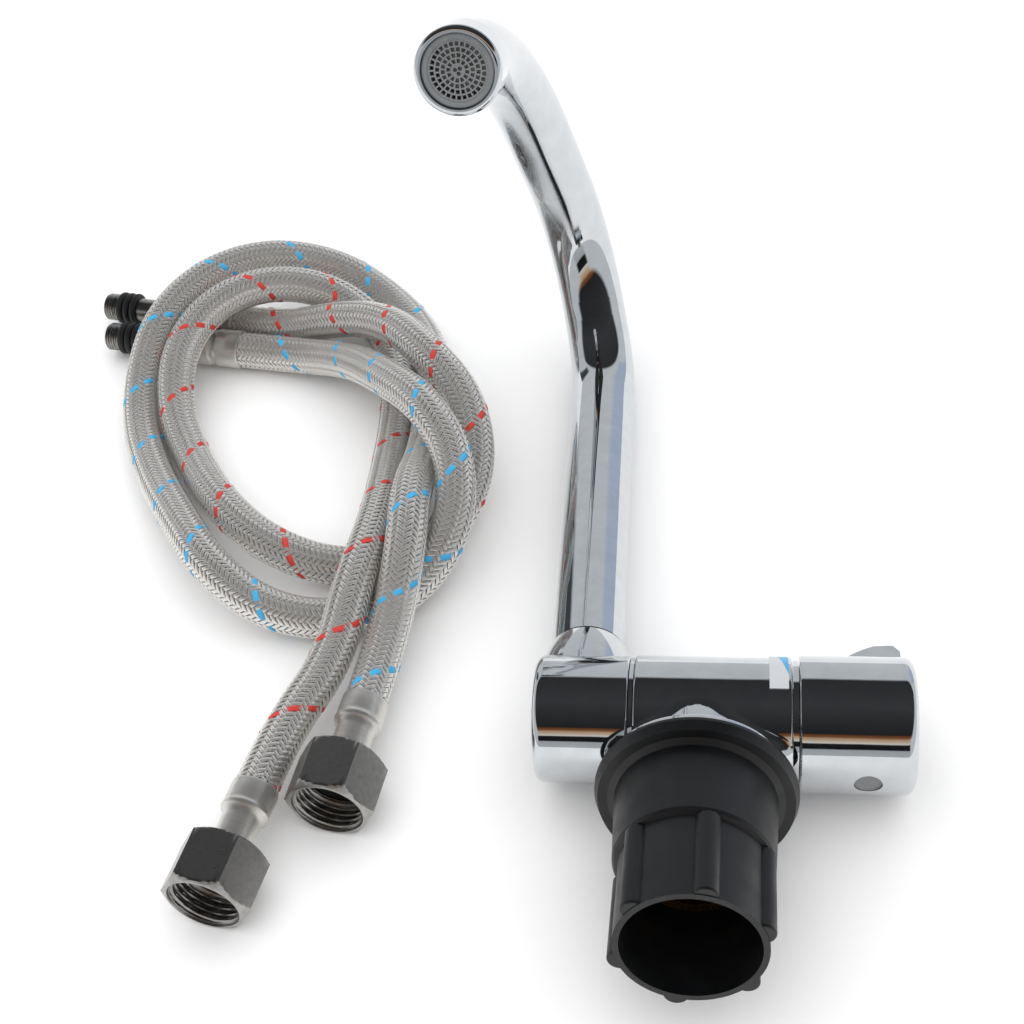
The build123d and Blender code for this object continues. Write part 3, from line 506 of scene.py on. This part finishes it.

# %% [markdown]
# ## Wire finishes
# Every strand is a flat bundle of some seven stainless wires, so it shows fine stripes along
# it. One strand of each hose is coloured plastic yarn, which tells hot from cold. Wires could be
# modelled one by one, but they are finer than a pixel, so a wave across the strand's UV gives
# their ridges as a bump, and paints shade into the grooves between them as darker stripes.

# %% Wire and yarn
WIRES_DRAWN = 5                 # seven real wires of 0.18 mm would be finer than a pixel
# each row: painted groove shade, the strand's own colour on its crowns, metallic, roughness
wire_rows_with_painted_shade = {"stainless_wire_drawn": ("#9a9792", "#fbf9f5", 0.78, 0.27),
             "blue_polyester_yarn": ("#2a86b8", "#49b0e0", 0.0, 0.45),
             "red_polyester_yarn": ("#a02a26", "#d0433b", 0.0, 0.45)}
wire_finish = {}
for name, (dark, light, metal, rough) in wire_rows_with_painted_shade.items():
    strand, tree, shader = finish(name, Metallic=metal, Roughness=rough)
    uv = add(tree, "ShaderNodeTexCoord").outputs["UV"]
    across = add(tree, "ShaderNodeSeparateXYZ", {0: uv})
    wires = add(tree, "ShaderNodeMath", {0: across.outputs["X"], 1: WIRES_DRAWN * 2 * math.pi},
                operation="MULTIPLY")
    stripe = add(tree, "ShaderNodeMath", {0: wires.outputs[0]}, operation="COSINE")
    height = add(tree, "ShaderNodeMapRange", {"Value": stripe.outputs[0], "From Min": -1.0,
                                              "From Max": 1.0, "To Min": 1.0, "To Max": 0.0})
    # painted shade: the colour darkens towards the grooves between the wires or fibres
    tone = add(tree, "ShaderNodeValToRGB", {0: height.outputs[0]},
               stops=[(0.0, dark), (0.5, light)])
    ridge = add(tree, "ShaderNodeBump", {"Height": height.outputs[0], "Strength": 0.35,
                                         "Distance": 0.00006})
    feed(tree, shader, tone, bump=ridge)
    wire_finish[name] = strand
print("wire finishes:", sorted(wire_finish))

# %% [markdown]
# ## The braid
# Sixteen strands run round the hose one way and sixteen the other. Each goes over two and under
# two of the others, and its neighbour is two crossings behind, which gives the rows of arrow
# heads along the hose. A bump texture can't give the ragged outline of a real braid, so
# every strand is its own flat strip of mesh that dips and rises as it is woven.

# %% Strands
STRANDS = 16                    # each way round
STRAND_WIDTH = 0.00134
HALF_THICKNESS = 0.0001
WEAVE_DEPTH = 0.0002            # how far a strand is lifted over the others, or pressed under
CHEEK = 0.72                    # the flat top takes this share of a strand's width


def strands(carried_line, which, width=STRAND_WIDTH, proud=0.0):
    """Corner places (strand, step, corner, xyz) of the strands in which = [(index, way)]."""
    line, ahead, side, up, even = carried_line
    meets = np.round(even / BRAID_LEAD * 2 * STRANDS).astype(int)       # crossings passed so far
    rise = BRAID_LEAD / (2 * math.pi * BRAID_RADIUS)
    rows = []
    for index, way in which:
        angle = way * 2 * math.pi * even / BRAID_LEAD + 2 * math.pi * index / STRANDS
        partner = index + way * meets                # the strand that it crosses there
        over = (np.mod(index + partner, 4) < 2) == (way > 0)
        lift = np.where(over, WEAVE_DEPTH, -WEAVE_DEPTH)
        out = side * np.cos(angle)[:, None] + up * np.sin(angle)[:, None]
        round_way = (-side * np.sin(angle)[:, None] + up * np.cos(angle)[:, None]) * way
        along = round_way + ahead * rise
        along /= np.linalg.norm(along, axis=1)[:, None]
        cross = np.cross(out, along)
        centre = line + out * (BRAID_RADIUS + lift + proud)[:, None]
        corners = [centre + cross * (share * width / 2) + out * high
                   for share, high in ((-1, -HALF_THICKNESS), (-CHEEK, HALF_THICKNESS),
                                       (CHEEK, HALF_THICKNESS), (1, -HALF_THICKNESS))]
        rows.append(np.stack(corners, axis=1))
    return np.stack(rows)


print("a strand is", STRAND_WIDTH * 1000, "mm wide")

# %% Strips of mesh
def strip_mesh(name, grid, finish_used):
    """One mesh of strips from places (strip, step, corner, xyz), with stripes along them."""
    strips, steps, corners, _ = grid.shape
    number = np.arange(strips * steps * corners).reshape(strips, steps, corners)
    a, b = number[:, :-1], number[:, 1:]
    quads = np.stack([a, np.roll(a, -1, axis=2), np.roll(b, -1, axis=2), b], axis=-1)
    quads = quads.reshape(-1, 4)
    mesh = bpy.data.meshes.new(name)
    mesh.vertices.add(grid.size // 3)
    mesh.vertices.foreach_set("co", grid.reshape(-1).astype(np.float32))
    mesh.loops.add(quads.size)
    mesh.loops.foreach_set("vertex_index", quads.reshape(-1).astype(np.int32))
    mesh.polygons.add(len(quads))
    mesh.polygons.foreach_set("loop_start", np.arange(0, quads.size, 4, dtype=np.int32))
    slope = (1 - CHEEK) / 2
    across = np.array([0.0, slope, 1 - slope, 1.0])[quads % corners]
    uv = np.stack([across, (quads // corners) % steps], axis=-1).astype(np.float32)
    layer = mesh.uv_layers.new(name="along_strand")
    layer.data.foreach_set("uv", uv.reshape(-1))
    mesh.update(calc_edges=True)
    mesh.validate()
    mesh.shade_smooth()
    mesh.materials.append(finish_used)
    thing = bpy.data.objects.new(name, mesh)
    bpy.context.scene.collection.objects.link(thing)
    return thing


print("strips have four corners across")

# %% Braids with their coloured yarn
YARN_WIDTH = 0.0019             # the coloured yarn is softer than wire, so it spreads
YARN_PROUD = 0.00006            # and stands a little above it
TRACER = (3, 1)                 # the place of the coloured yarn among the strands
hose_parts = {}
for colour in ("blue", "red"):
    metal = [(i, way) for way in (1, -1) for i in range(STRANDS) if (i, way) != TRACER]
    braid = strip_mesh(colour + "_braid", strands(carried[colour], metal),
                       wire_finish["stainless_wire_drawn"])
    yarn = strands(carried[colour], [TRACER], YARN_WIDTH, YARN_PROUD)
    tracer = strip_mesh(colour + "_tracer_yarn", yarn, wire_finish[colour + "_polyester_yarn"])
    hose_parts[colour] = [braid, tracer]
    print(colour, "braid has", len(braid.data.polygons), "faces")

# %% [markdown]
# ## Turned and pressed fittings
# Sleeves, nuts and tails are all turned round one axis, but a nut has six flats and a thread
# climbs as it goes round. So each is skinned over one closed outline that may change with the
# angle. A screw modifier could do the thread alone, yet nut, chamfers and thread in one skin
# leave no seams. Their places follow from the last two points of each hose's line.

# %% A skin over a turning outline
MM = 0.001                      # outlines are written in mm, and Blender counts in metres


def hose_end(end, before):
    """The matrix with its origin at a hose's end, Z out of the hose and X level."""
    out = (Vector(end) - Vector(before)).normalized()
    level = Vector((0, 0, 1)).cross(out).normalized()
    turned = Matrix((level, out.cross(level), out)).transposed()
    return Matrix.Translation(Vector(end)) @ turned.to_4x4()


def turned_piece(name, place, outline, columns, surface, body, sharp):
    """Skins a closed outline(angle) = [(radius, height)] in mm round the Z axis of place.

    Edges that bend by more than sharp degrees stay crisp."""
    angles = np.asarray(columns)
    rows = np.array([outline(a) for a in angles])
    count, steps, _ = rows.shape
    xyz = np.stack([rows[..., 0] * np.cos(angles)[:, None], rows[..., 0] * np.sin(angles)[:, None],
                    rows[..., 1]], axis=-1) * MM
    number = np.arange(count * steps).reshape(count, steps)
    ahead, up = np.roll(number, -1, axis=0), np.roll(number, -1, axis=1)
    quads = np.stack([number, ahead, np.roll(ahead, -1, axis=1), up], axis=-1).reshape(-1, 4)
    mesh = bpy.data.meshes.new(name)
    world = np.array(place)
    places = xyz.reshape(-1, 3) @ world[:3, :3].T + world[:3, 3]
    mesh.from_pydata(places.tolist(), [], quads.tolist())
    layer = mesh.uv_layers.new(name="round_and_along")
    column = np.repeat(np.arange(count), steps)[quads]
    wrap = column.max(axis=1) - column.min(axis=1) > 1
    turn = angles[column]
    turn[wrap[:, None] & (column == 0)] += 2 * math.pi
    high = rows.reshape(-1, 2)[:, 1][quads]
    wide = rows[..., 0].max()
    layer.data.foreach_set("uv", np.stack([turn * wide, high], axis=-1).reshape(-1))
    work = bmesh.new()
    work.from_mesh(mesh)
    bmesh.ops.recalc_face_normals(work, faces=work.faces)
    work.to_mesh(mesh)
    work.free()
    mesh.shade_smooth()
    mesh.set_sharp_from_angle(angle=math.radians(sharp))
    mesh.materials.append(surface)
    thing = bpy.data.objects.new(name, mesh)
    bpy.context.scene.collection.objects.link(thing)
    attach(thing, body)
    return thing


routes = {"blue": BLUE_ROUTE, "red": RED_ROUTE}
ends = {colour: (hose_end(route[-1], route[-2]), hose_end(route[0], route[1]))
        for colour, route in routes.items()}
print("blue union end points to", [round(v, 3) for v in ends["blue"][0].col[2][:3]])

# %% [markdown]
# ## Sleeves
# A thin steel sleeve is pressed on each end of a hose. On the nut's side it steps down to a
# narrower neck, with a raised bead where the press stopped. On the tail's side it stays wide,
# with one groove rolled round it. A cylinder with bevels would do for the straight part, but an
# outline of its own gives each bead and step its true softness.

# %% Pressed sleeves
round_columns = np.linspace(0, 2 * math.pi, 72, endpoint=False)
# radius and height in mm; the height starts at the end of the hose's line
NECK_SLEEVE = [(4.95, 20.2), (5.3, 20.2), (5.48, 20.0), (5.5, 19.6), (5.5, 11.2), (5.55, 10.4),
               (5.75, 9.8), (6.3, 9.1), (6.72, 8.8), (6.95, 8.3), (6.98, 7.9), (6.86, 7.4),
               (6.74, 7.0), (6.78, 6.2), (6.8, 4.0), (6.8, 0.7), (6.72, 0.25), (6.45, 0.0),
               (5.9, 0.0), (5.7, 4.0), (4.95, 12.0)]
TAIL_SLEEVE = [(4.4, 20.0), (6.0, 20.0), (6.5, 19.7), (6.78, 19.2), (6.8, 18.6), (6.8, 11.8),
               (6.7, 11.3), (6.35, 10.8), (6.3, 10.2), (6.3, 9.8), (6.35, 9.3), (6.7, 8.8),
               (6.8, 8.3), (6.8, 0.7), (6.72, 0.25), (6.45, 0.0), (5.9, 0.0), (5.7, 8.0)]
for colour in ("blue", "red"):
    nut_end, tail_end = ends[colour]
    for name, place, outline in ((colour + "_union_sleeve", nut_end, NECK_SLEEVE),
                                 (colour + "_tail_sleeve", tail_end, TAIL_SLEEVE)):
        sleeve = turned_piece(name, place, lambda angle: outline, round_columns, satin_steel,
                              "tap_body", sharp=50)
        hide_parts(name.replace("sleeve", "ferrule"))
        hose_parts[colour].append(sleeve)
print("sleeves are", NECK_SLEEVE[0][1], "mm long")

# %% [markdown]
# ## Union nuts
# Each hose ends in a loose hexagon nut with a half inch pipe thread inside. Its flats are 22.5
# mm apart, both ends are turned to a cone, so that the flats end in round arches, and its
# thread climbs 1.81 mm a turn. The threads catch the light as bright rings in the dark mouth.
# Cutting cones and threads out of a prism would leave ragged edges, so the outline itself
# changes with the angle.

# %% Climbing thread
THREAD_CORE, THREAD_DEPTH, THREAD_PITCH = 9.35, 0.95, 1.814     # half inch pipe thread, in mm


def thread(radius, depth, pitch, high, angle, start, end):
    """Radius of a climbing thread at a height, fading out at both of its ends."""
    turn = (high / pitch - angle / (2 * math.pi)) % 1.0
    tooth = min(max(1.5 - 3.4 * abs(turn - 0.5), 0.0), 1.0)
    fade = min(max((high - start) / pitch, 0.0), 1.0) * min(max((end - high) / 0.5, 0.0), 1.0)
    return radius + depth * tooth * fade


print("the nut's thread is", round(2 * (THREAD_CORE + THREAD_DEPTH), 1), "mm across")

# %% Nut outline
NUT_BACK, NUT_MOUTH = 20.5, 37.5        # mm from the end of the hose's line
HALF_FLATS = 11.25
FLAT_HOLLOW = 0.02              # the flats lie a hair lower than the arches of the cones
NECK_HOLE = 4.98                # the nut turns on the sleeve's neck
BACK_RIM, MOUTH_RIM, CONE_SLOPE = 10.95, 10.55, 1.5
THREAD_FOOT, SEAT = 28.1, 23.7
corner_turns = [60 * corner + beside for corner in range(6) for beside in (-2.0, -0.9, 0.9, 2.0)]
nut_turns = np.mod(np.concatenate([np.arange(0, 360, 2.5), corner_turns]), 360)
NUT_COLUMNS = np.unique(np.radians(nut_turns))


def nut_outline(angle):
    """Radius and height round the nut's wall at an angle: back, flats, mouth, thread."""
    from_flat = (math.degrees(angle) % 60) - 30
    hexagon = HALF_FLATS / math.cos(math.radians(from_flat))
    points = [(NECK_HOLE, SEAT), (NECK_HOLE, NUT_BACK + 0.2), (5.2, NUT_BACK)]
    for back in (0.0, 0.35, 0.7, 1.05, 1.4):
        points.append((min(hexagon, BACK_RIM + back * CONE_SLOPE), NUT_BACK + back))
    points += [(hexagon - FLAT_HOLLOW, NUT_BACK + 4), (hexagon - FLAT_HOLLOW, NUT_MOUTH - 4)]
    for back in (1.6, 1.2, 0.8, 0.4, 0.12):
        points.append((min(hexagon, MOUTH_RIM + back * CONE_SLOPE), NUT_MOUTH - back))
    points += [(10.5, NUT_MOUTH), (10.2, NUT_MOUTH), (10.1, NUT_MOUTH - 0.15)]
    top = NUT_MOUTH - 0.7
    for high in np.arange(top, THREAD_FOOT + 0.2, -0.16):
        wall = thread(THREAD_CORE, THREAD_DEPTH, THREAD_PITCH, high, angle, THREAD_FOOT,
                      NUT_MOUTH - 0.6)
        lead_in = max(0.0, 0.7 - (top - high)) * 0.9
        points.append((max(wall, THREAD_CORE + lead_in), high))
    return points + [(THREAD_CORE, THREAD_FOOT + 0.1), (8.72, THREAD_FOOT), (8.7, SEAT + 0.1)]


print("nut outline has", len(nut_outline(0.0)), "points")

# %% Hexagon nuts
for colour in ("blue", "red"):
    nut = turned_piece(colour + "_hexagon_nut", ends[colour][0], nut_outline, NUT_COLUMNS,
                       nickel_plate, colour + "_nut", sharp=24)
    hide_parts(colour + "_union_nut")
    hose_parts[colour].append(nut)
    hose_parts[colour] += [frame["nodes"][colour + "_nipple"], frame["nodes"][colour + "_washer"]]
    print(colour, "nut has", len(nut.data.polygons), "faces")

# %% [markdown]
# ## Screw-in tails
# The other end of each hose is a slim tail that screws into the tap's body: a smooth shank,
# three rubber rings in their grooves, and nearly five turns of a 1 mm pitch thread. It could be
# joined from cylinders. One outline, with the same climbing thread as the nuts, keeps it whole.

# %% Tails
TAIL_FOOT, TAIL_END = 20.0, 53.0        # mm from the end of the hose's line
TAIL_BORE, TAIL_RADIUS = 3.0, 4.35
RING_PLACES = (41.0, 43.7, 46.4)        # the middles of grooves 2.6 mm wide and 0.9 mm deep
TAIL_THREAD_FOOT = 47.9
TAIL_CORE, TAIL_DEPTH, TAIL_PITCH = 4.4, 0.54, 1.0


def tail_outline(angle):
    """Radius and height round the tail's wall at an angle."""
    points = [(TAIL_BORE, TAIL_FOOT), (TAIL_RADIUS, TAIL_FOOT)]
    for ring in RING_PLACES:
        points += [(TAIL_RADIUS, ring - 1.3), (3.45, ring - 1.2), (3.4, ring + 1.2),
                   (TAIL_RADIUS, ring + 1.3)]
    rim = TAIL_END - 0.2
    for high in np.arange(TAIL_THREAD_FOOT + 0.15, TAIL_END - 0.35, 0.12):
        points.append((thread(TAIL_CORE, TAIL_DEPTH, TAIL_PITCH, high, angle, TAIL_THREAD_FOOT,
                              rim), high))
    return points + [(4.45, rim), (4.2, TAIL_END), (3.2, TAIL_END), (TAIL_BORE, rim)]


for colour in ("blue", "red"):
    tail = turned_piece(colour + "_screw_tail", ends[colour][1], tail_outline, round_columns,
                        nickel_plate, "tap_body", sharp=40)
    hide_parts(colour + "_tail")
    hose_parts[colour].append(tail)
hose_parts["blue"].append(frame["nodes"]["tail_o_rings"])      # one node holds all six rings
print("tail threads end", TAIL_END, "mm from the hose")

# %% [markdown]
# ## The hoses themselves
# The rubber tube runs along each hose's smooth line, with the braid and the fittings on it. The
# hoses could hang from the tap, but here they lie loose beside it, so they ride on its body and
# stay still while its joints move.

# %% Rubber tubes
for colour, route in routes.items():
    tube = hose_curve(colour + "_rubber_tube", route, RUBBER_RADIUS)
    tube.data.materials.append(mouldings["nitrile_rubber_moulded"])
    for piece in [tube] + hose_parts[colour][:2]:
        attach(piece, "tap_body")
    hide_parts(colour + "_hose")
    print(colour, "tube rides with", len(hose_parts[colour]), "pieces")
